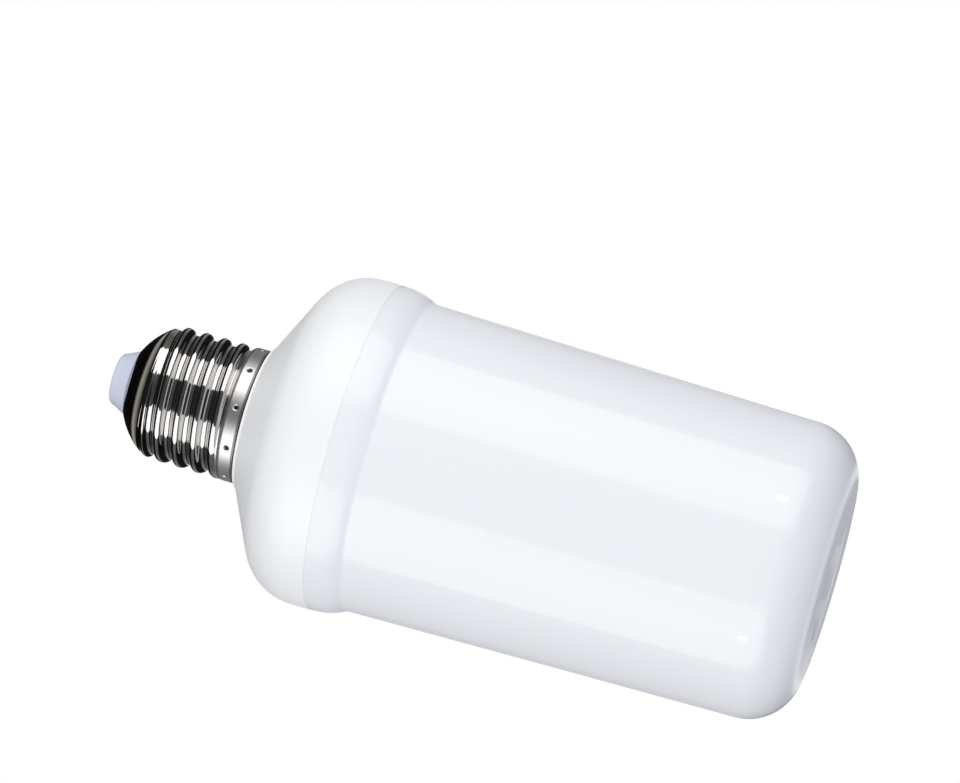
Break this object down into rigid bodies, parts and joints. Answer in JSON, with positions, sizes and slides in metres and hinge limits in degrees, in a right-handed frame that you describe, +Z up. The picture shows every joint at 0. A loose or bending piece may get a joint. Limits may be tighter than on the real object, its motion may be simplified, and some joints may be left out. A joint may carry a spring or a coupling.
{
  "type": "flame effect led bulb",
  "caption": "Screw cap LED bulb with a long frosted tapered cover over a wrapped light board, for a flickering flame effect in a lamp holder",
  "frame": {"origin": "centre of the rest ring at the frosted end, which the bulb stands on", "axes": "+Z up the bulb's axis towards the cap's tip, +X through the thread's crest that lies lowest on the +X side, +Y by the right-hand rule; the picture looks along +Y"},
  "size_m": [0.064, 0.064, 0.142],
  "materials": {
    "cap_nickel": "gloss",
    "contact_tin": "satin",
    "cap_plastic": "gloss",
    "housing_white": "satin",
    "frosted_cover": "gloss",
    "former_white": "matte",
    "screw_zinc": "satin",
    "board_white": "matte",
    "board_green": "satin",
    "phosphor": "matte",
    "chip_black": "matte",
    "can_sleeve": "gloss",
    "film_brown": "gloss",
    "ferrite": "matte",
    "copper": "gloss",
    "fuse_green": "gloss",
    "wire_red": "gloss",
    "wire_black": "gloss",
    "wire_blue": "gloss"
  },
  "bodies": {
    "root": {"diffuser": "frosted_cover", "housing": "housing_white", "screw_shell": "cap_nickel", "cap_insulator": "cap_plastic", "centre_contact": "contact_tin", "led_former": "former_white", "former_screws": "screw_zinc", "led_wrap_board": "board_white", "wrap_leds": "phosphor", "chip_resistors": "chip_black", "led_end_board": "board_white", "end_leds": "phosphor", "control_chip": "chip_black", "driver_board": "board_green", "filter_capacitor": "can_sleeve", "output_capacitor": "can_sleeve", "inductor_core": "ferrite", "inductor_winding": "copper", "film_capacitor": "film_brown", "freewheel_diode": "chip_black", "driver_chip": "chip_black", "bridge_rectifier": "chip_black", "fusible_resistor": "fuse_green", "live_wire": "wire_black", "neutral_wire": "wire_blue", "positive_lead": "wire_red", "negative_lead": "wire_black"}
  },
  "joints": []
}
